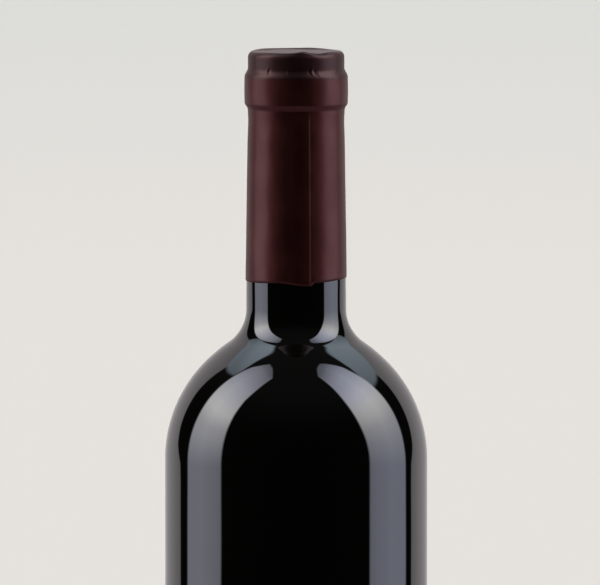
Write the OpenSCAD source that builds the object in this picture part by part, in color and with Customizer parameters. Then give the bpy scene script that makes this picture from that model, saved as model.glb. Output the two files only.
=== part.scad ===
// Wine bottle of 75 cl with upright sides and round shoulders, shut under a foil capsule.
// It stands on the ring of its base. The origin is the centre of that ring, +Z is up and the
// front faces -Y. The glass can't be seen into, so the bottle is one solid with its outer form.
// Sizes are in millimetres and degrees. Depths are measured down from the top of the glass.

/* [Body] */
// Height of the glass, from the floor to the lip
bottle_h = 299.45; // [270:0.05:360]
// Diameter of the upright body
body_d = 75; // [62:0.5:92]
// Radius at which the side turns under into the base
heel_r = 7; // [4:0.5:9]

/* [Base] */
// Width of the flat ring that the bottle stands on
bearing_w = 2.5; // [1.5:0.5:4]
// Radius of the inner edge of that ring
bearing_edge_r = 2; // [1:0.5:3]
// Depth of the punt, the hollow in the base
punt_h = 20; // [12:1:26]
// Slope of the wall of the punt, from the floor
punt_slope = 55; // [45:1:65]

/* [Shoulder] */
// Radius of the shoulder where it rises from the body
shoulder_low_r = 39.5; // [36:0.5:48]
// Slope, from upright, at which the shoulder becomes flatter
shoulder_turn = 45; // [30:0.5:46]
// Radius of the shoulder above that slope
shoulder_high_r = 48; // [42:0.5:60]
// Radius of the hollow curve from the shoulder into the neck
throat_r = 11.7; // [8:0.2:18]

/* [Neck] */
// Depth at which the neck ends and the throat begins
neck_l = 73.5; // [66:0.5:90]
// Full diameter of the neck, at its lower end
neck_d = 28.5; // [26:0.1:35]
// Diameter of the neck just under the ring
neck_top_d = 27.1; // [24:0.1:33]
// Length of the neck, up from its lower end, that keeps its full diameter
neck_even = 9; // [4:1:30]

/* [Finish] */
// Diameter of the lip above the ring
lip_d = 27.1; // [24:0.1:33]
// Radius of the top edge of the lip
lip_edge_r = 1.5; // [0.5:0.1:2]
// Diameter of the ring at the middle of its face
ring_d = 29.2; // [27:0.1:36]
// Depth at which the lip starts to swell into the ring
ring_start = 4.3; // [3.5:0.1:5.5]
// Height of the swell above the face of the ring
ring_swell = 2.7; // [1.5:0.1:3.5]
// Height of the face of the ring
ring_face = 7.3; // [5:0.1:9]
// Height of the slope under the face of the ring
ring_under = 2.1; // [1.5:0.1:3]
// How far the face of the ring bulges
ring_crown = 0.06; // [0:0.02:0.3]

/* [Capsule] */
// Thickness of the foil
foil_t = 0.2; // [0.1:0.05:0.4]
// Clearance between the foil and the glass
foil_gap = 0.05; // [0.02:0.01:0.1]
// Height of the capsule's rim above its disc
rim_rise = 0.3; // [0.1:0.05:0.6]
// Width of the slope from that rim down to the disc
rim_w = 1.6; // [0.8:0.2:4]
// Length of the capsule at its axis, from its disc
capsule_l = 64.7; // [50:0.1:80]
// Tilt of the lower edge
hem_tilt = 3.8; // [0:0.1:5]
// Place where the lower edge is lowest, turned from the front towards -X
hem_turn = 41; // [0:1:359]
// Thickness that the overlap of the side seam adds
lap_t = 0.12; // [0.05:0.01:0.3]
// Width of the overlap
lap_w = 4; // [2:0.2:8]
// How far the overlap hangs below the lower edge
lap_drop = 0.9; // [0:0.1:1.5]
// Place of the free edge of the overlap, turned from the front towards +X
lap_turn = 16; // [0:1:359]

/* [Hidden] */
$fn = 96;

// Straight steps in each arc or curve of an outline
STEPS = 16;
// Length by which a cutter runs past what it cuts
PAST = 5;

body_r = body_d / 2;
neck_r = neck_d / 2;
neck_top_r = neck_top_d / 2;
lip_r = lip_d / 2;
ring_r = ring_d / 2 - ring_crown;

// From the glass out to the face of the foil
foil = foil_gap + foil_t;

// Depths of the ring of the finish
ring_face_top = ring_start + ring_swell;
ring_face_low = ring_face_top + ring_face;
ring_end = ring_face_low + ring_under;

// Steepest slope of the shoulder, from upright: the three arcs together span body to neck
shoulder_slope = acos((shoulder_low_r * (1 - cos(shoulder_turn)) + shoulder_high_r * cos(shoulder_turn)
    + throat_r - (body_r - neck_r)) / (shoulder_high_r + throat_r));
throat_h = throat_r * sin(shoulder_slope);
shoulder_high_h = shoulder_high_r * (sin(shoulder_slope) - sin(shoulder_turn));
shoulder_low_h = shoulder_low_r * sin(shoulder_turn);
shoulder_z = bottle_h - neck_l - throat_h - shoulder_high_h - shoulder_low_h;

// The punt: its crown is the arc that joins the sloping wall to the set depth
bearing_in_r = body_r - heel_r - bearing_w;
crown_r = (bearing_in_r - bearing_edge_r * sin(punt_slope)
    - (punt_h - bearing_edge_r * (1 - cos(punt_slope))) / tan(punt_slope))
    / (sin(punt_slope) - (1 - cos(punt_slope)) / tan(punt_slope));

// Points of an arc round [cx, cz], from one angle to another
function arc(cx, cz, r, from, to) = [
    for (i = [0 : STEPS]) let (a = from + (to - from) * i / STEPS) [cx + r * cos(a), cz + r * sin(a)]
];

// Points of a soft step between two radii, level at both ends, going up
function swell(r_low, r_high, z_low, z_high) = [
    for (i = [0 : STEPS]) let (t = i / STEPS)
        [r_low + (r_high - r_low) * (1 - cos(180 * t)) / 2, z_low + (z_high - z_low) * t]
];

// Points up the crowned face of the ring
function ring_points(r, z_low, z_high) = [
    for (i = [1 : STEPS - 1]) let (t = i / STEPS) [r + ring_crown * sin(180 * t), z_low + (z_high - z_low) * t]
];

// Outline of the base, from the middle of the punt out to the top of the heel
function base_outline() = concat(
    arc(0, punt_h - crown_r, crown_r, 90, 90 - punt_slope),
    arc(bearing_in_r, bearing_edge_r, bearing_edge_r, 270 - punt_slope, 270),
    arc(body_r - heel_r, heel_r, heel_r, -90, 0)
);

// Points of the slope from a raised rim down to the disc inside it
function rim_points(r, z_disc, rise) = [
    for (i = [1 : STEPS]) let (t = i / STEPS) [r - rim_w * t, z_disc + rise * (1 + cos(180 * t)) / 2]
];

// Outline of the ring and the lip, grown outwards, with its rim raised, ending on the axis
function finish_outline(grow, rise) = concat(
    swell(neck_top_r + grow, ring_r + grow, bottle_h - ring_end, bottle_h - ring_face_low),
    ring_points(ring_r + grow, bottle_h - ring_face_low, bottle_h - ring_face_top),
    swell(ring_r + grow, lip_r + grow, bottle_h - ring_face_top, bottle_h - ring_start),
    arc(lip_r - lip_edge_r, bottle_h - lip_edge_r + rise, lip_edge_r + grow, 0, 90),
    rise > 0 ? rim_points(lip_r - lip_edge_r, bottle_h + grow, rise) : [],
    [[0, bottle_h + grow]]
);

// Outline of the glass above the body, grown outwards: shoulder, throat, neck and finish
function upper_outline(grow, rise) = concat(
    arc(body_r - shoulder_low_r, shoulder_z, shoulder_low_r + grow, 0, shoulder_turn),
    arc(body_r - shoulder_low_r - (shoulder_high_r - shoulder_low_r) * cos(shoulder_turn),
        shoulder_z - (shoulder_high_r - shoulder_low_r) * sin(shoulder_turn),
        shoulder_high_r + grow, shoulder_turn, shoulder_slope),
    arc(neck_r + throat_r, bottle_h - neck_l, throat_r - grow, 180 + shoulder_slope, 180),
    [[neck_r + grow, bottle_h - neck_l + neck_even]],
    finish_outline(grow, rise)
);

// Solid with the form of the glass above the body, grown outwards, with its rim raised
module upper_form(grow, rise) {
    rotate_extrude()
        polygon(concat([[0, shoulder_z]], upper_outline(grow, rise)));
}

// The space below the hem of the capsule, lowered by a drop
module below_hem(drop) {
    reach = body_d + 2 * PAST;
    translate([0, 0, bottle_h + foil - capsule_l - drop])
        rotate([0, 0, -hem_turn])
            rotate([hem_tilt, 0, 0])
                translate([-reach / 2, -reach / 2, -bottle_h])
                    cube([reach, reach, bottle_h]);
}

// A slab out through the overlap of the side seam, from under the ring to past the hem
module lap_slab() {
    slab_h = capsule_l + PAST - ring_end;
    rotate([0, 0, lap_turn])
        translate([-lap_w, -body_d, bottle_h - ring_end - slab_h])
            cube([lap_w, body_d, slab_h]);
}

// The glass, in one piece with its ring and its punt
module bottle() {
    color("#15170f")
        rotate_extrude()
            polygon(concat(base_outline(), upper_outline(0, 0)));
}

// The foil over the lip, the ring and the neck, with its overlapped side seam
module capsule() {
    color("#4a1f28")
        difference() {
            union() {
                difference() {
                    upper_form(foil, rim_rise);
                    below_hem(0);
                }
                difference() {
                    intersection() {
                        upper_form(foil + lap_t, 0);
                        lap_slab();
                    }
                    below_hem(lap_drop);
                }
            }
            upper_form(foil_gap, 0);
        }
}

bottle();
capsule();
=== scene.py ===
import math

import bpy
import numpy as np
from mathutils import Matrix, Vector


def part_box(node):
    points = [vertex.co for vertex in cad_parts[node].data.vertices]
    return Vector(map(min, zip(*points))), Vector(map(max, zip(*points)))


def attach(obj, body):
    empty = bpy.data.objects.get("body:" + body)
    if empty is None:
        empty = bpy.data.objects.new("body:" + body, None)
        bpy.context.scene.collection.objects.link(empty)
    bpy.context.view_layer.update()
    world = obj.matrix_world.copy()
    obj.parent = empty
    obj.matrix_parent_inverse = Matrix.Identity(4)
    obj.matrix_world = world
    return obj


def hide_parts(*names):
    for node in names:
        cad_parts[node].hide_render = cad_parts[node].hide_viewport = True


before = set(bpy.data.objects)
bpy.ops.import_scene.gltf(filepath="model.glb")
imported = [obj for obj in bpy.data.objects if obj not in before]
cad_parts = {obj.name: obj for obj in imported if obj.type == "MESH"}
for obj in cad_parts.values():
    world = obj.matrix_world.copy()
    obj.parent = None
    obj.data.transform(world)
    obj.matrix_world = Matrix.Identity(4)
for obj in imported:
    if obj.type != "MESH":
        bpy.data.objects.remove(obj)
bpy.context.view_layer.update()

MM = 0.001

# ---- driving sizes ---------------------------------------------------------------------------
# The axis of the bottle is the Z axis, and the front faces -Y. Angles round the axis are turned
# from the front towards +X. Depths are measured down from the top of the glass.

GLASS_LOW, GLASS_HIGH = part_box("bottle")
FOIL_LOW, FOIL_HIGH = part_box("capsule")

GLASS_TOP = GLASS_HIGH.z
BODY_R = GLASS_HIGH.x
FOIL_TOP = FOIL_HIGH.z

# Base
HEEL_R = 7 * MM
BEARING_W = 2.5 * MM
BEARING_EDGE_R = 2 * MM
PUNT_H = 20 * MM
PUNT_SLOPE = math.radians(55)

# Shoulder and throat
LOW_R = 39.5 * MM
TURN = math.radians(45)
HIGH_R = 48 * MM
THROAT_R = 11.7 * MM

# Neck and the ring under the lip
NECK_L = 73.5 * MM
NECK_R = 14.25 * MM
NECK_TOP_R = 13.55 * MM
NECK_EVEN = 9 * MM
LIP_R = 13.55 * MM
LIP_EDGE_R = 1.5 * MM
RING_CROWN = 0.06 * MM
RING_R = 14.6 * MM - RING_CROWN
RING_TOP = 4.3 * MM
RING_SWELL = 2.7 * MM
RING_FACE = 7.3 * MM
RING_UNDER = 2.1 * MM
RING_FACE_TOP = RING_TOP + RING_SWELL
RING_FACE_LOW = RING_FACE_TOP + RING_FACE
RING_END = RING_FACE_LOW + RING_UNDER

# Foil
FOIL_GAP = 0.05 * MM
FOIL_T = 0.2 * MM
FOIL = FOIL_GAP + FOIL_T
RIM_RISE = FOIL_TOP - GLASS_TOP - FOIL
RIM_W = 1.6 * MM
CAPSULE_L = 64.7 * MM
HEM_TILT = math.radians(3.8)
HEM_TURN = math.radians(41)
LAP_TURN = math.radians(16)
LAP_W = 4 * MM
LAP_T = 0.12 * MM
LAP_DROP = 0.9 * MM
FOIL_R_HEM = NECK_R + FOIL

# The three arcs from the body to the neck together span the difference of their radii
SLOPE = math.acos((LOW_R * (1 - math.cos(TURN)) + HIGH_R * math.cos(TURN) + THROAT_R
                   - (BODY_R - NECK_R)) / (HIGH_R + THROAT_R))
SHOULDER_Z = (GLASS_TOP - NECK_L - THROAT_R * math.sin(SLOPE)
              - HIGH_R * (math.sin(SLOPE) - math.sin(TURN)) - LOW_R * math.sin(TURN))

SEED = 7

# Tone of the far backdrop
PALE = (0.723, 0.716, 0.686)


# ---- outlines --------------------------------------------------------------------------------

def arc(cx, cz, r, start, end, n):
    """Points (cx + r cos a, cz + r sin a) for n even steps of a from start to end."""
    a = np.linspace(start, end, n)
    return np.column_stack([cx + r * np.cos(a), cz + r * np.sin(a)])


def swell(r_low, r_high, z_low, z_high, n):
    """A soft step between two radii going up: r follows half a cosine wave, level at both ends."""
    t = np.linspace(0, 1, n)
    r = r_low + (r_high - r_low) * (1 - np.cos(np.pi * t)) / 2
    return np.column_stack([r, z_low + (z_high - z_low) * t])


def straight(start, end, n):
    """n even points on the line from start to end."""
    return np.linspace(start, end, n)


def joined(*runs):
    """One outline from runs that meet end to end, with each shared point kept once."""
    kept = [runs[0]]
    for run in runs[1:]:
        same = np.linalg.norm(run[0] - kept[-1][-1]) < 1e-7
        kept.append(run[1:] if same else run)
    return np.vstack(kept)


def finish_outline(grow, n):
    """The ring and the lip, grown outwards: a swell up to the ring, its crowned face, a swell back to
    the upright lip and a round top edge."""
    ring_low = (RING_R + grow, GLASS_TOP - RING_FACE_LOW)
    ring_high = (RING_R + grow, GLASS_TOP - RING_FACE_TOP)
    lip_low = (LIP_R + grow, GLASS_TOP - RING_TOP)
    lip_high = (LIP_R + grow, GLASS_TOP - LIP_EDGE_R)
    ring = straight(ring_low, ring_high, n)
    ring[:, 0] += RING_CROWN * np.sin(np.linspace(0, np.pi, n))
    return joined(
        swell(NECK_TOP_R + grow, RING_R + grow, GLASS_TOP - RING_END, GLASS_TOP - RING_FACE_LOW, n),
        ring,
        swell(RING_R + grow, LIP_R + grow, GLASS_TOP - RING_FACE_TOP, GLASS_TOP - RING_TOP, n),
        straight(lip_low, lip_high, n // 2 + 1),
        arc(LIP_R - LIP_EDGE_R, GLASS_TOP - LIP_EDGE_R, LIP_EDGE_R + grow, 0, np.pi / 2, n))


def punt_crown_r():
    """Radius of the crown of the punt, the arc that joins the sloping wall to the set depth."""
    inner = BODY_R - HEEL_R - BEARING_W
    s, c = math.sin(PUNT_SLOPE), 1 - math.cos(PUNT_SLOPE)
    cot = 1 / math.tan(PUNT_SLOPE)
    return (inner - BEARING_EDGE_R * s - (PUNT_H - BEARING_EDGE_R * c) * cot) / (s - c * cot)


def glass_outline():
    """The outline of the glass as (r, z), from the middle of the punt, out over the standing ring, up
    the side, shoulder and neck, and in over the lip to the axis: arcs that meet in their tangents."""
    crown = punt_crown_r()
    inner = BODY_R - HEEL_R - BEARING_W
    cut = math.radians(270) - PUNT_SLOPE
    low_c = BODY_R - LOW_R
    high_c = low_c - (HIGH_R - LOW_R) * math.cos(TURN)
    high_z = SHOULDER_Z - (HIGH_R - LOW_R) * math.sin(TURN)
    neck_z = GLASS_TOP - NECK_L
    return joined(
        arc(0, PUNT_H - crown, crown, np.pi / 2, np.pi / 2 - PUNT_SLOPE, 22),
        arc(inner, BEARING_EDGE_R, BEARING_EDGE_R, cut, np.radians(270), 8),
        straight((inner, 0), (BODY_R - HEEL_R, 0), 7),
        arc(BODY_R - HEEL_R, HEEL_R, HEEL_R, -np.pi / 2, 0, 14),
        straight((BODY_R, HEEL_R), (BODY_R, SHOULDER_Z), 34),
        arc(low_c, SHOULDER_Z, LOW_R, 0, TURN, 22),
        arc(high_c, high_z, HIGH_R, TURN, SLOPE, 14),
        arc(NECK_R + THROAT_R, neck_z, THROAT_R, np.pi + SLOPE, np.pi, 24),
        straight((NECK_R, neck_z), (NECK_R, neck_z + NECK_EVEN), 8),
        straight((NECK_R, neck_z + NECK_EVEN), (NECK_TOP_R, GLASS_TOP - RING_END), 12),
        finish_outline(0, 6),
        straight((LIP_R - LIP_EDGE_R, GLASS_TOP), (0, GLASS_TOP), 4))


# ---- meshes ----------------------------------------------------------------------------------

def ease(x, low, high):
    """0 below low, 1 above high and 3t^2 - 2t^3 between, for numbers or arrays."""
    t = np.clip((x - low) / (high - low), 0, 1)
    return t * t * (3 - 2 * t)


def bump(x, centre, width):
    """A bell round centre: exp(-((x - centre) / width)^2)."""
    return np.exp(-((x - centre) / width) ** 2)


def turned(angle):
    """Angles wrapped into -pi to pi."""
    return (angle + np.pi) % (2 * np.pi) - np.pi


def lathe_mesh(name, r, z, turn):
    """A closed surface round the Z axis from arrays r and z of rows by columns. The point of row i and
    column j is (r sin t, -r cos t, z) with t = turn[j]. The first and the last row lie on the axis,
    and each is drawn together into one pole."""
    rows, cols = r.shape
    x = r[1:-1] * np.sin(turn)
    y = -r[1:-1] * np.cos(turn)
    body = np.stack([x, y, z[1:-1]], axis=2).reshape(-1, 3)
    points = np.vstack([body, [[0, 0, z[0].mean()]], [[0, 0, z[-1].mean()]]])
    first, last = len(body), len(body) + 1
    j = np.arange(cols)
    k = (j + 1) % cols
    i = np.arange(rows - 3)[:, None] * cols
    quads = np.stack([i + j, i + k, i + cols + k, i + cols + j], axis=2).reshape(-1, 4)
    top = (rows - 3) * cols
    low_fan = np.column_stack([np.full(cols, first), k, j])
    high_fan = np.column_stack([np.full(cols, last), top + j, top + k])
    mesh = bpy.data.meshes.new(name)
    mesh.from_pydata(points.tolist(), [], quads.tolist() + low_fan.tolist() + high_fan.tolist())
    mesh.polygons.foreach_set("use_smooth", np.ones(len(mesh.polygons), dtype=bool))
    mesh.update()
    piece = bpy.data.objects.new(name, mesh)
    bpy.context.scene.collection.objects.link(piece)
    return piece


def waves(turn, height, rng, count, cycles, length, size):
    """A faint unevenness: the sum of count waves, each size cos(m t + a) cos(2 pi h / l + b), with m
    whole turns up to cycles and l lengths round about length."""
    total = np.zeros(np.broadcast(turn, height).shape)
    for _ in range(count):
        m = rng.integers(1, cycles + 1)
        a, b = rng.uniform(0, 2 * np.pi, 2)
        step = length * rng.uniform(0.6, 1.6)
        total = total + np.cos(m * turn + a) * np.cos(2 * np.pi * height / step + b)
    return total * size / math.sqrt(count)


# ---- glass -----------------------------------------------------------------------------------

SEAM_W = 0.3 * MM
SEAM_H = 0.05 * MM
KNURLS = 96
KNURL_H = 0.15 * MM


def even_turn(count, centres, spread, extra):
    """Angles once round: count even ones, and extra ones packed within spread of each centre."""
    base = np.linspace(-np.pi, np.pi, count, endpoint=False)
    packed = [c + np.linspace(-spread, spread, extra) for c in centres]
    clear = [np.abs(turned(base - c)) > spread * 1.05 for c in centres]
    base = base[np.logical_and.reduce(clear)] if centres else base
    return np.sort(turned(np.concatenate([base] + packed)))


def make_glass():
    """The glass: its outline turned once round the axis, with a faint waviness of the wall, two fine
    mould seams up the sides at +X and -X, and a ring of small notches in the standing ring."""
    rng = np.random.default_rng(SEED)
    outline = glass_outline()
    turn = even_turn(384, [np.pi / 2, -np.pi / 2], 1.6 * SEAM_W / BODY_R, 9)
    r, z = outline[:, :1], outline[:, 1:]
    slope = np.gradient(outline, axis=0)
    slope /= np.linalg.norm(slope, axis=1, keepdims=True)
    out_r, out_z = slope[:, 1:], -slope[:, :1]
    hem = GLASS_TOP + FOIL - CAPSULE_L
    shown = ease(z, HEEL_R * 0.6, HEEL_R * 2) * (1 - ease(z, hem - 5 * MM, hem - 1.5 * MM))
    side = (np.arange(len(r)) > 28)[:, None]
    wall = waves(turn, z, rng, 9, 5, 60 * MM, 0.016 * MM) * shown * side
    seam_at = np.minimum(np.abs(turned(turn - np.pi / 2)), np.abs(turned(turn + np.pi / 2))) * r
    seam = SEAM_H * bump(seam_at, 0, SEAM_W) * shown * side
    push = wall + seam
    bearing = bump(r, BODY_R - HEEL_R - BEARING_W / 2, BEARING_W * 0.75) * (z < 2 * MM)
    notch = KNURL_H * bearing * (0.5 + 0.5 * np.cos(KNURLS * turn)) ** 2
    return lathe_mesh("bottle_glass", r + out_r * push, z + out_z * push + notch, turn)


# ---- foil ------------------------------------------------------------------------------------

def hem_height(turn):
    """Height of the lower edge of the foil: a tilted ring, a slow wave, and the tongue of the overlap
    that hangs lowest at its free edge."""
    tilt = -FOIL_R_HEM * np.cos(turn + HEM_TURN) * math.tan(HEM_TILT)
    off = turned(turn - LAP_TURN)
    along = off * FOIL_R_HEM
    tongue = 1.25 * LAP_DROP * ease(along, -2.6 * LAP_W, 0) * (1 - ease(along, 0.25 * MM, 1.1 * MM))
    tongue = tongue + 0.33 * MM * ease(along, 0.25 * MM, 1.1 * MM) * (1 - ease(along, 23 * MM, 40 * MM))
    slow = 0.07 * MM * np.cos(3 * turn + 0.8) + 0.05 * MM * np.cos(5 * turn + 2.1)
    return GLASS_TOP + FOIL - CAPSULE_L + tilt + slow - tongue


def neck_r(z):
    """Radius of the glass at a height on the neck: even at the foot, then a taper up to the ring."""
    top = GLASS_TOP - RING_END
    foot = GLASS_TOP - NECK_L + NECK_EVEN
    t = np.clip((z - foot) / (top - foot), 0, 1)
    return NECK_R + (NECK_TOP_R - NECK_R) * t


def make_foil():
    """The foil: a thin closed shell. Its rows go out over the underside of the disc, down the inside to
    the lower edge, and back up the outside, over the rim and in to the middle of the disc. The outside
    carries the relief: overlap, folds, creases and the dish of the disc."""
    turn = even_turn(470, [LAP_TURN], 0.35 * MM / FOIL_R_HEM, 9)
    cols = len(turn)
    top = GLASS_TOP - RING_END
    hem = hem_height(turn)

    def skirt(grow, n):
        t = np.linspace(0, 1, n)[:, None]
        z = hem + (top - hem) * t
        return neck_r(z) + grow, z

    def ringed(grow, n):
        line = finish_outline(grow, n)[1:]
        ones = np.ones(cols)
        return line[:, :1] * ones, line[:, 1:] * ones

    def disc(z, n):
        t = np.linspace(1, 0, n)[1:, None]
        return (LIP_R - LIP_EDGE_R) * t * np.ones(cols), z * np.ones((n - 1, cols))

    inner_skirt = skirt(FOIL_GAP, 14)
    inner_ring = ringed(FOIL_GAP, 7)
    inner_disc = disc(GLASS_TOP + FOIL_GAP, 5)
    outer_skirt = skirt(FOIL, 64)
    outer_ring = ringed(FOIL, 15)
    outer_disc = disc(GLASS_TOP + FOIL, 26)
    inner_r = np.vstack([inner_skirt[0], inner_ring[0], inner_disc[0]])[::-1]
    inner_z = np.vstack([inner_skirt[1], inner_ring[1], inner_disc[1]])[::-1]
    outer_r = np.vstack([outer_skirt[0], outer_ring[0], outer_disc[0]])
    outer_z = np.vstack([outer_skirt[1], outer_ring[1], outer_disc[1]])
    outer_r, outer_z = foil_relief(outer_r, outer_z, turn)
    return lathe_mesh("capsule_foil", np.vstack([inner_r, outer_r]), np.vstack([inner_z, outer_z]), turn)


def rim_wave(turn):
    """Unevenness of the rim of the disc round the bottle: a sum of bells at set turns, the highest near
    the front with a low one beside it."""
    parts = [(9, 11, 0.40), (33, 12, -0.22), (64, 15, 0.12), (-18, 12, -0.08), (-75, 26, -0.20),
             (118, 18, -0.14), (160, 16, 0.10), (-128, 20, 0.10)]
    total = np.zeros_like(turn)
    for place, width, size in parts:
        total = total + size * MM * bump(turned(turn - math.radians(place)), 0, math.radians(width))
    return total


def folds(turn, depth, rng):
    """Small upright folds where the foil is drawn in between lip and ring: each is a bell across, inside
    a bell down the slope, bowed sideways by the square of the distance from its middle."""
    known = [(-37, 4.9, 0.35, 0.09), (-33.5, 4.9, 0.35, -0.09), (-9.5, 5.0, 0.3, 0.10),
             (15, 4.8, 0.3, -0.08), (18.5, 4.8, 0.32, 0.12), (22, 4.8, 0.3, -0.08),
             (27, 5.2, 0.35, 0.05), (52, 5.5, 0.8, 0.03), (-60, 5.5, 0.8, 0.03)]
    turns = rng.uniform(75, 285, 15)
    sizes = rng.uniform(-0.055, 0.055, 15)
    widths = rng.uniform(0.35, 0.9, 15)
    rest = [(a, rng.uniform(4.8, 5.6), w, h) for a, w, h in zip(turns, widths, sizes)]
    total = np.zeros(np.broadcast(turn, depth).shape)
    for place, middle, width, size in known + rest:
        down = (depth - middle * MM) / (0.9 * MM)
        across = turned(turn - math.radians(place)) * LIP_R - 0.3 * MM * down ** 2
        total = total + size * MM * bump(across, 0, width * MM) * bump(down, 0, 1)
    return total


# Start and end of each crease (turn in degrees, depth in mm), its width and its height in mm
CREASES = [
    ((-1, 1.1), (9, 2.4), 0.22, 0.05),
    ((-48, 1.4), (-36, 2.2), 0.3, 0.03),
    ((100, 1.2), (112, 2.6), 0.25, 0.05),
    ((200, 1.6), (190, 3.0), 0.3, 0.04),
    ((27, 16.2), (35, 18.0), 0.35, 0.03),
    ((-30, 17.5), (-22, 16.4), 0.35, 0.03),
]


def crease(turn, depth, start, end, width, size):
    """A thin ridge along a line between two points (turn in degrees, depth in mm): a bell of the
    distance to the line, fading past both ends."""
    x = turned(turn - math.radians(start[0])) * LIP_R
    y = depth - start[1] * MM
    dx = math.radians(end[0] - start[0]) * LIP_R
    dy = (end[1] - start[1]) * MM
    reach = math.hypot(dx, dy)
    along = (x * dx + y * dy) / reach
    off = (x * dy - y * dx) / reach
    half = width * MM
    inside = ease(along, -half, half) * (1 - ease(along, reach - half, reach + half))
    return size * MM * bump(off, 0, half) * inside


def foil_relief(r, z, turn):
    """The relief of the outside, pushed outwards from the smooth form by the sum of its parts: the
    overlap of the side seam, the waist under the ring, folds, creases and a faint unevenness. The rim
    of the disc rises and waves, and the disc inside it is a little dished and wrinkled."""
    rng = np.random.default_rng(SEED + 1)
    depth = GLASS_TOP - z
    flat_r = LIP_R - LIP_EDGE_R
    on_disc = (r < flat_r + 1e-6) & (depth < 0)
    on_skirt = depth > RING_FACE_LOW
    along = turned(turn - LAP_TURN) * FOIL_R_HEM
    lap = LAP_T * ease(along, -1.6 * LAP_W, -0.6 * LAP_W) * (1 - ease(along, -0.36 * MM, 0.36 * MM))
    lap = lap * ease(depth, RING_FACE_LOW + MM, RING_END + 3 * MM)
    waist = -0.10 * MM * bump(depth, 20.3 * MM, 2.6 * MM) + 0.08 * MM * bump(depth, 16.7 * MM, 1.0 * MM)
    mottle = waves(turn, z, rng, 14, 22, 16 * MM, 0.009 * MM)
    mottle = mottle + waves(turn, z, rng, 6, 4, 45 * MM, 0.016 * MM)
    overhang = 0.14 * MM * bump(depth, -0.15 * MM, 0.3 * MM) - 0.17 * MM * bump(depth, 0.75 * MM, 0.5 * MM)
    lens = overhang * bump(turned(turn - math.radians(11)) * LIP_R, 0, 2.3 * MM)
    crimp = folds(turn, depth, rng)
    for start, end, width, size in CREASES:
        crimp = crimp + crease(turn, depth, start, end, width, size)
    push = (lap + waist) * on_skirt + (mottle + lens + crimp) * ~on_disc
    rise = (RIM_RISE + rim_wave(turn)) * ease(r, flat_r - RIM_W, flat_r)
    rise = rise * (1 - ease(depth, 0.6 * MM, 2.6 * MM))
    swirl = np.cos(5 * turn + 9 * r / flat_r) + 0.7 * np.cos(3 * turn - 14 * r / flat_r + 1.3)
    dish = on_disc * (1 - ease(r, flat_r - RIM_W, flat_r)) * 0.02 * MM * swirl * ease(r, 0, 3 * MM)
    return r + push, z + rise + dish


# ---- shader parts ----------------------------------------------------------------------------

def maths(tree, operation, a, b=None, clamp=False):
    """The output of a Math node on two values, each a number or a socket."""
    node = tree.nodes.new("ShaderNodeMath")
    node.operation = operation
    node.use_clamp = clamp
    for socket, value in zip(node.inputs, (a, b)):
        if value is None:
            continue
        if isinstance(value, (int, float)):
            socket.default_value = value
        else:
            tree.links.new(value, socket)
    return node.outputs[0]


def product(tree, first, *others):
    """The product of several values."""
    for other in others:
        first = maths(tree, "MULTIPLY", first, other)
    return first


def smooth(tree, value, low, high, start=0.0, end=1.0):
    """The output of a smooth step of a value from low to high, giving start to end."""
    node = tree.nodes.new("ShaderNodeMapRange")
    node.interpolation_type = "SMOOTHSTEP"
    tree.links.new(value, node.inputs["Value"])
    node.inputs["From Min"].default_value = low
    node.inputs["From Max"].default_value = high
    node.inputs["To Min"].default_value = start
    node.inputs["To Max"].default_value = end
    return node.outputs["Result"]


def curve(tree, value, stops, span, peak):
    """The output of a ramp through stops (place, height), with places in span and heights up to peak."""
    low, high = span
    spread = tree.nodes.new("ShaderNodeMapRange")
    tree.links.new(value, spread.inputs["Value"])
    spread.inputs["From Min"].default_value = low
    spread.inputs["From Max"].default_value = high
    ramp = tree.nodes.new("ShaderNodeValToRGB")
    tree.links.new(spread.outputs["Result"], ramp.inputs["Fac"])
    points = ramp.color_ramp.elements
    while len(points) < len(stops):
        points.new(1.0)
    for point, (place, height) in zip(points, stops):
        point.position = (place - low) / (high - low)
        point.color = (height / peak, height / peak, height / peak, 1)
    return maths(tree, "MULTIPLY", ramp.outputs["Color"], peak)


# ---- materials -------------------------------------------------------------------------------

def new_material(name):
    """An empty material with a Principled shader joined to its output."""
    material = bpy.data.materials.new(name)
    material.use_nodes = True
    tree = material.node_tree
    shader = tree.nodes["Principled BSDF"] if "Principled BSDF" in tree.nodes else None
    if shader is None:
        shader = tree.nodes.new("ShaderNodeBsdfPrincipled")
        out = tree.nodes.new("ShaderNodeOutputMaterial")
        tree.links.new(shader.outputs["BSDF"], out.inputs["Surface"])
    return material, tree, shader


def group(name, outputs):
    """A shader node group with the named outputs, and its tree and output node. The kinds of output are
    "Color" and "Float"."""
    tree = bpy.data.node_groups.new(name, "ShaderNodeTree")
    for label, kind in outputs:
        tree.interface.new_socket(label, in_out="OUTPUT", socket_type="NodeSocket" + kind)
    return tree, tree.nodes.new("NodeGroupOutput")


def noise(tree, scale, stretch=(1, 1, 1), detail=2.0, shift=(0, 0, 0)):
    """Noise of a scale in features a metre at a place on the object, drawn out along the axes."""
    where = tree.nodes.new("ShaderNodeTexCoord")
    mapping = tree.nodes.new("ShaderNodeMapping")
    mapping.inputs["Scale"].default_value = stretch
    mapping.inputs["Location"].default_value = shift
    tree.links.new(where.outputs["Object"], mapping.inputs["Vector"])
    node = tree.nodes.new("ShaderNodeTexNoise")
    node.inputs["Scale"].default_value = scale
    node.inputs["Detail"].default_value = detail
    tree.links.new(mapping.outputs["Vector"], node.inputs["Vector"])
    return node.outputs["Fac"]


def level(tree):
    """Height of a place on the object above the floor."""
    where = tree.nodes.new("ShaderNodeTexCoord")
    split = tree.nodes.new("ShaderNodeSeparateXYZ")
    tree.links.new(where.outputs["Object"], split.inputs[0])
    return split.outputs["Z"]


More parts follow.
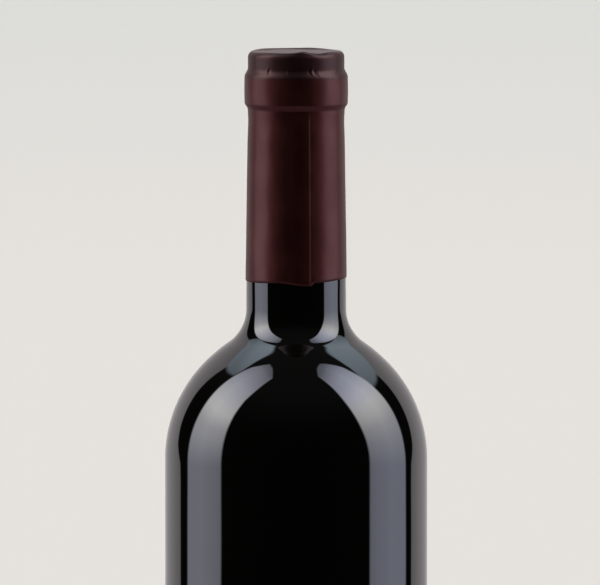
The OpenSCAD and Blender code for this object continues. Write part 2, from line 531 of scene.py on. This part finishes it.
def blend(tree, value, low, high):
    """A colour between low and high by a value."""
    mix = tree.nodes.new("ShaderNodeMix")
    mix.data_type = "RGBA"
    tree.links.new(value, mix.inputs["Factor"])
    mix.inputs[6].default_value = (*low, 1)
    mix.inputs[7].default_value = (*high, 1)
    return mix.outputs[2]


def blend_to(tree, value, low, high):
    """A colour between a socket and a fixed colour by a value."""
    mix = tree.nodes.new("ShaderNodeMix")
    mix.data_type = "RGBA"
    tree.links.new(value, mix.inputs["Factor"])
    tree.links.new(low, mix.inputs[6])
    mix.inputs[7].default_value = (*high, 1)
    return mix.outputs[2]


def use(tree, made):
    """A node that holds a group in another tree."""
    node = tree.nodes.new("ShaderNodeGroup")
    node.node_tree = made
    return node


def bumped(tree, shader, height, distance, strength):
    """Joins a height in metres times distance to the normal of a shader."""
    node = tree.nodes.new("ShaderNodeBump")
    node.inputs["Distance"].default_value = distance
    node.inputs["Strength"].default_value = strength
    tree.links.new(height, node.inputs["Height"])
    tree.links.new(node.outputs["Normal"], shader.inputs["Normal"])


def glass_face():
    """The face of the glass: dark olive with slow changes of depth, a faint haze that is stronger in
    soft upright smears, and a slight orange-peel swell."""
    tree, out = group("glass_face", [("Color", "Color"), ("Roughness", "Float"), ("Height", "Float")])
    slow = noise(tree, 28, (1, 1, 0.4), 3)
    smear = noise(tree, 70, (1, 1, 0.18), 4, (0.3, 0.1, 0))
    specks = smooth(tree, noise(tree, 900, (1, 1, 1), 2, (0, 0.4, 0.2)), 0.70, 0.78)
    foot = smooth(tree, level(tree), 0.012, 0.002)
    haze = maths(tree, "ADD", smooth(tree, smear, 0.45, 0.75, 0.006, 0.030), product(tree, specks, 0.05))
    haze = maths(tree, "ADD", haze, product(tree, foot, 0.12))
    swell_low = noise(tree, 45, (1, 1, 0.7), 1.0, (0.7, 0, 0))
    tree.links.new(blend(tree, slow, (0.0004, 0.0005, 0.0003), (0.0010, 0.0012, 0.0007)), out.inputs["Color"])
    tree.links.new(haze, out.inputs["Roughness"])
    tree.links.new(swell_low, out.inputs["Height"])
    return tree


def glass_material():
    """Near-black olive glass over dark wine: a clear dielectric face with a trace of haze."""
    material, tree, shader = new_material("dark_glass")
    face = use(tree, glass_face())
    shader.inputs["IOR"].default_value = 1.52
    tree.links.new(face.outputs["Color"], shader.inputs["Base Color"])
    tree.links.new(face.outputs["Roughness"], shader.inputs["Roughness"])
    bumped(tree, shader, face.outputs["Height"], 0.00008, 1.0)
    return material


def foil_face():
    """The face of the foil: burgundy lacquer with soft mottling, fine drawn streaks and grain. Above the ring
    a darker colour and a thinner coat are painted shade. It is smoother on the disc. Along the rim of the
    disc a paler colour is a painted reflection of the backdrop, and near the lower edge scuffs of wear make
    it greyer."""
    tree, out = group("foil_face", [("Color", "Color"), ("Roughness", "Float"), ("Coat", "Float"),
                                    ("Height", "Float")])
    mottle = noise(tree, 150, (1, 1, 0.8), 3)
    streak = noise(tree, 900, (1, 1, 0.05), 2, (0.2, 0, 0.5))
    grain = noise(tree, 3200, (1, 1, 1), 2, (0, 0.6, 0))
    z = level(tree)
    # Top of the rim of the disc, where a paler colour is painted as a reflection of the backdrop
    rim = smooth(tree, z, FOIL_TOP - 0.12 * MM, FOIL_TOP + 0.02 * MM)
    hem = smooth(tree, z, GLASS_TOP - CAPSULE_L + 2.6 * MM, GLASS_TOP - CAPSULE_L + 0.4 * MM)
    scuff = smooth(tree, noise(tree, 700, (1, 1, 0.6), 3, (0.9, 0, 0)), 0.52, 0.72)
    # Painted reflection along the rim, plus random wear scuffs near the lower edge
    rim_sheen_and_hem_wear = maths(tree, "ADD", product(tree, rim, 0.6), product(tree, hem, scuff, 0.07), clamp=True)
    tone = maths(tree, "ADD", product(tree, mottle, 0.7), product(tree, streak, 0.3))
    # Mask of the zone above the ring, where painted shade darkens the colour and thins the coat
    shade_above_ring = smooth(tree, z, GLASS_TOP - RING_FACE_TOP - 0.6 * MM, GLASS_TOP - RING_FACE_TOP + 0.6 * MM)
    lacquer = blend(tree, smooth(tree, tone, 0.3, 0.7), (0.041, 0.0104, 0.0092), (0.053, 0.0138, 0.0122))
    # Painted shade: above the ring the lacquer is blended to a darker, greyer red
    lacquer_with_painted_shade = blend_to(tree, shade_above_ring, lacquer, (0.031, 0.0140, 0.0130))
    # Painted reflection and wear: a pale warm grey along the rim and in scuffs near the lower edge
    colour = blend_to(tree, rim_sheen_and_hem_wear, lacquer_with_painted_shade, (0.150, 0.115, 0.105))
    rough = maths(tree, "ADD", smooth(tree, mottle, 0.3, 0.7, 0.465, 0.505), product(tree, grain, 0.03))
    disc = smooth(tree, z, GLASS_TOP + 0.1 * MM, GLASS_TOP + FOIL)
    rough = maths(tree, "SUBTRACT", rough, product(tree, disc, 0.16))
    # The coat is thinner above the ring, as part of the painted shade
    coat = product(tree, smooth(tree, mottle, 0.25, 0.75, 0.14, 0.22), smooth(tree, shade_above_ring, 0, 1, 1, 0.72))
    height = maths(tree, "ADD", product(tree, grain, 0.35), product(tree, mottle, 1.2))
    tree.links.new(colour, out.inputs["Color"])
    tree.links.new(rough, out.inputs["Roughness"])
    tree.links.new(coat, out.inputs["Coat"])
    tree.links.new(height, out.inputs["Height"])
    return tree


def foil_material():
    """Burgundy lacquer over tin foil: a dark tinted metal, satin, under a thin clear film."""
    material, tree, shader = new_material("burgundy_foil")
    face = use(tree, foil_face())
    shader.inputs["Metallic"].default_value = 1.0
    shader.inputs["Coat Roughness"].default_value = 0.26
    shader.inputs["Specular Tint"].default_value = (1.0, 0.88, 0.86, 1)
    tree.links.new(face.outputs["Color"], shader.inputs["Base Color"])
    tree.links.new(face.outputs["Roughness"], shader.inputs["Roughness"])
    tree.links.new(face.outputs["Coat"], shader.inputs["Coat Weight"])
    bumped(tree, shader, face.outputs["Height"], 0.00006, 1.0)
    return material


# ---- studio ----------------------------------------------------------------------------------

def combined(tree, *parts):
    """The sum of several parts, each a socket times a colour."""
    result = None
    for value, colour in parts:
        scaled = tree.nodes.new("ShaderNodeVectorMath")
        scaled.operation = "SCALE"
        scaled.inputs[0].default_value = colour
        tree.links.new(value, scaled.inputs["Scale"])
        if result is None:
            result = scaled.outputs[0]
            continue
        both = tree.nodes.new("ShaderNodeVectorMath")
        both.operation = "ADD"
        tree.links.new(result, both.inputs[0])
        tree.links.new(scaled.outputs[0], both.inputs[1])
        result = both.outputs[0]
    return result


def softbox(tree, angle, height, bright, inner, outer, top):
    """A tall softbox at one side: its brightness by height, between an inner and an outer edge that
    lean with the height, under a top edge that bends down to both sides, a little dimmer towards its
    edges."""
    edge_in = maths(tree, "SUBTRACT", angle, curve(tree, height, inner, (-40, 80), 120))
    edge_out = maths(tree, "SUBTRACT", curve(tree, height, outer, (-40, 80), 120), angle)
    off = maths(tree, "SUBTRACT", angle, 86.0)
    under = maths(tree, "SUBTRACT", maths(tree, "SUBTRACT", top, product(tree, off, off, 0.005)), height)
    across = curve(tree, angle, [(60, 0.85), (78, 1), (93, 1), (106, 0.8), (112, 0.7)], (55, 115), 1)
    return product(tree, curve(tree, height, bright, (-40, 80), 8), across, smooth(tree, under, -0.8, 0.8),
                   smooth(tree, edge_in, -1.6, 1.4), smooth(tree, edge_out, -1.6, 1.6))


def behind(tree, angle, height, gap_edge, panel_foot, panel_top, panel_mid, panel_bend, panel_light):
    """What stands behind one softbox: a dark gap, the pale backdrop past it, and a cool panel above both
    with a round top. Gives the brightness of the backdrop and of the panel."""
    foot = maths(tree, "SUBTRACT", height, curve(tree, angle, panel_foot, (105, 180), 60))
    past = maths(tree, "SUBTRACT", angle, curve(tree, height, gap_edge, (-40, 60), 150))
    low = smooth(tree, foot, -1.5, 1.5, 1, 0)
    above_table = smooth(tree, height, -30, -9)
    fading = smooth(tree, angle, 130, 165, 0.8, 0.6)
    backdrop = product(tree, smooth(tree, past, -1.2, 1.2), low, above_table, fading)
    off = maths(tree, "SUBTRACT", angle, panel_mid)
    top = maths(tree, "SUBTRACT", panel_top, product(tree, off, off, panel_bend))
    under = maths(tree, "SUBTRACT", top, height)
    panel = product(tree, smooth(tree, foot, -1.5, 1.5), smooth(tree, under, -1.5, 2.5),
                    smooth(tree, angle, 110, 113), curve(tree, height, panel_light, (30, 70), 3))
    return backdrop, panel


def studio_world():
    """Light by direction. Two tall softboxes stand left and right of the bottle, with a pale backdrop
    and a cool panel behind, a dark room in front and above, a low glow from underneath, and a plain
    pale tone for the camera. Angle is turned from the front to either side, and height is up from the
    horizon, in degrees."""
    world = bpy.data.worlds.new("studio")
    world.use_nodes = True
    tree = world.node_tree
    tree.nodes.clear()
    way = tree.nodes.new("ShaderNodeTexCoord")
    split = tree.nodes.new("ShaderNodeSeparateXYZ")
    tree.links.new(way.outputs["Generated"], split.inputs[0])
    x, y, z = split.outputs
    to_front = maths(tree, "MULTIPLY", y, -1.0)
    side = maths(tree, "ARCTAN2", maths(tree, "ABSOLUTE", x), to_front)
    angle = maths(tree, "MULTIPLY", side, 180 / math.pi)
    height = maths(tree, "MULTIPLY", maths(tree, "ARCSINE", z), 180 / math.pi)
    right = maths(tree, "GREATER_THAN", x, 0.0)
    left = maths(tree, "SUBTRACT", 1.0, right)

    left_box = softbox(
        tree, angle, height,
        [(-38, 0), (-25, 1.2), (-4, 2.5), (10, 4.0), (20, 5.1), (30, 7.7), (36, 7.4), (50, 5.3),
         (58, 3.9), (64, 3.1), (67, 2.7), (70, 1.9), (74, 1.3)],
        [(-10, 70.2), (20, 69.4), (33, 68.4), (45, 66.4), (55, 62.5), (62, 60), (71, 56)],
        [(-10, 111.8), (20, 110.6), (55, 109.5), (62, 108.5), (71, 104.5)], 73.8)
    right_box = softbox(
        tree, angle, height,
        [(-38, 0), (-25, 1.2), (-4, 2.4), (10, 3.4), (20, 4.5), (30, 6.5), (36, 7.2), (44, 6.9),
         (54, 5.2), (60, 4.4), (65, 3.3), (68, 2.6), (72, 1.6), (76, 1.3)],
        [(-10, 68.5), (5, 68.3), (15, 67.4), (25, 65.7), (35, 64), (45, 62.3), (60, 61.3), (74, 59)],
        [(-10, 113.6), (3, 112.4), (40, 112), (62, 111.5), (70, 108), (75, 104)], 75.4)
    left_drop, left_panel = behind(
        tree, angle, height,
        [(-30, 114), (-5, 123.5), (2, 131), (8, 133.5), (22, 134.5), (40, 132)],
        [(112, 48), (124, 43), (133, 40), (150, 42)], 69, 136, 0.023,
        [(38, 1.1), (48, 1.3), (56, 2.0), (64, 2.4)])
    right_drop, right_panel = behind(
        tree, angle, height,
        [(-30, 118), (-5, 122.5), (2, 127), (10, 129), (20, 130.5), (34, 132)],
        [(112, 38), (124, 35.5), (133, 34), (150, 36)], 63.5, 134, 0.033,
        [(34, 1.1), (42, 1.5), (52, 1.9), (60, 2.1)])
    room = smooth(tree, height, 20, 60, 0.008, 0.05)
    below = smooth(tree, height, -12, -45, 0, 0.62)
    left_box = product(tree, left_box, left)
    right_box = product(tree, right_box, right)
    warm = curve(tree, height, [(-4, 0), (20, 0.7), (31, 1), (44, 0.45), (56, 0)], (-40, 80), 1)
    cool = maths(tree, "SUBTRACT", 1.0, warm)
    both_boxes = maths(tree, "ADD", left_box, right_box)
    light = combined(
        tree,
        (product(tree, left_box, cool), (0.975, 1.0, 1.17)),
        (product(tree, right_box, cool), (0.955, 1.0, 1.235)),
        (product(tree, both_boxes, warm), (1.016, 1.0, 1.0)),
        (product(tree, left_drop, left), (1.06, 1.0, 1.03)),
        (product(tree, right_drop, right), (1.06, 1.0, 1.03)),
        (product(tree, left_panel, left), (0.84, 1.0, 1.15)),
        (product(tree, right_panel, right), (0.84, 1.0, 1.15)),
        (below, (1.0, 0.74, 0.86)),
        (room, (1.0, 1.0, 1.0)))
    lit = tree.nodes.new("ShaderNodeBackground")
    tree.links.new(light, lit.inputs["Color"])
    plain = tree.nodes.new("ShaderNodeBackground")
    plain.inputs["Color"].default_value = (*PALE, 1)
    path = tree.nodes.new("ShaderNodeLightPath")
    mix = tree.nodes.new("ShaderNodeMixShader")
    tree.links.new(path.outputs["Is Camera Ray"], mix.inputs["Fac"])
    tree.links.new(lit.outputs[0], mix.inputs[1])
    tree.links.new(plain.outputs[0], mix.inputs[2])
    out = tree.nodes.new("ShaderNodeOutputWorld")
    tree.links.new(mix.outputs[0], out.inputs["Surface"])
    world.cycles.sampling_method = "MANUAL"
    world.cycles.sample_map_resolution = 1024
    bpy.context.scene.world = world


def studio_floor():
    """A wide pale floor at the height the bottle stands on. It catches the shadow, shows to the camera
    from above only, and lets light for the bottle pass."""
    reach = 60.0
    mesh = bpy.data.meshes.new("studio_floor")
    corners = [(-reach, -reach, 0), (reach, -reach, 0), (reach, reach, 0), (-reach, reach, 0)]
    mesh.from_pydata(corners, [], [(0, 1, 2, 3)])
    floor = bpy.data.objects.new("studio_floor", mesh)
    bpy.context.scene.collection.objects.link(floor)
    material = bpy.data.materials.new("pale_floor")
    material.use_nodes = True
    tree = material.node_tree
    tree.nodes.clear()
    where = tree.nodes.new("ShaderNodeTexCoord")
    length = tree.nodes.new("ShaderNodeVectorMath")
    length.operation = "LENGTH"
    tree.links.new(where.outputs["Object"], length.inputs[0])
    # Painted falloff of light: the floor's colour is lighter near the bottle and darker from 2.6 m to 5.6 m
    # out
    far = smooth(tree, length.outputs["Value"], 2.6, 5.6)
    mix = tree.nodes.new("ShaderNodeMix")
    mix.data_type = "RGBA"
    tree.links.new(far, mix.inputs["Factor"])
    mix.inputs[6].default_value = (0.574, 0.539, 0.466, 1)
    mix.inputs[7].default_value = (0.524, 0.511, 0.445, 1)
    matt = tree.nodes.new("ShaderNodeBsdfDiffuse")
    tree.links.new(mix.outputs[2], matt.inputs["Color"])
    clear = tree.nodes.new("ShaderNodeBsdfTransparent")
    face = tree.nodes.new("ShaderNodeNewGeometry")
    both = tree.nodes.new("ShaderNodeMixShader")
    tree.links.new(face.outputs["Backfacing"], both.inputs["Fac"])
    tree.links.new(matt.outputs[0], both.inputs[1])
    tree.links.new(clear.outputs[0], both.inputs[2])
    out = tree.nodes.new("ShaderNodeOutputMaterial")
    tree.links.new(both.outputs[0], out.inputs["Surface"])
    mesh.materials.append(material)
    floor.visible_glossy = False
    floor.visible_diffuse = False
    floor.visible_shadow = False


def camera():
    """A long lens five metres in front, a little above the bottle and pitched down."""
    data = bpy.data.cameras.new("camera")
    data.lens = 1050.9
    data.sensor_width = 36.0
    data.sensor_fit = "HORIZONTAL"
    data.clip_end = 200
    item = bpy.data.objects.new("camera", data)
    item.location = (1.1 * MM, -5.0, FOIL_TOP + 310.2 * MM)
    item.rotation_euler = (math.radians(90 - 4.342), 0, 0)
    bpy.context.scene.collection.objects.link(item)
    bpy.context.scene.camera = item


# ---- assembly --------------------------------------------------------------------------------

camera()
studio_world()
studio_floor()
bpy.context.scene.view_settings.view_transform = "Standard"

glass = make_glass()
glass.data.materials.append(glass_material())
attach(glass, "root")
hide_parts("bottle")

foil = make_foil()
foil.data.materials.append(foil_material())
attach(foil, "root")
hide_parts("capsule")
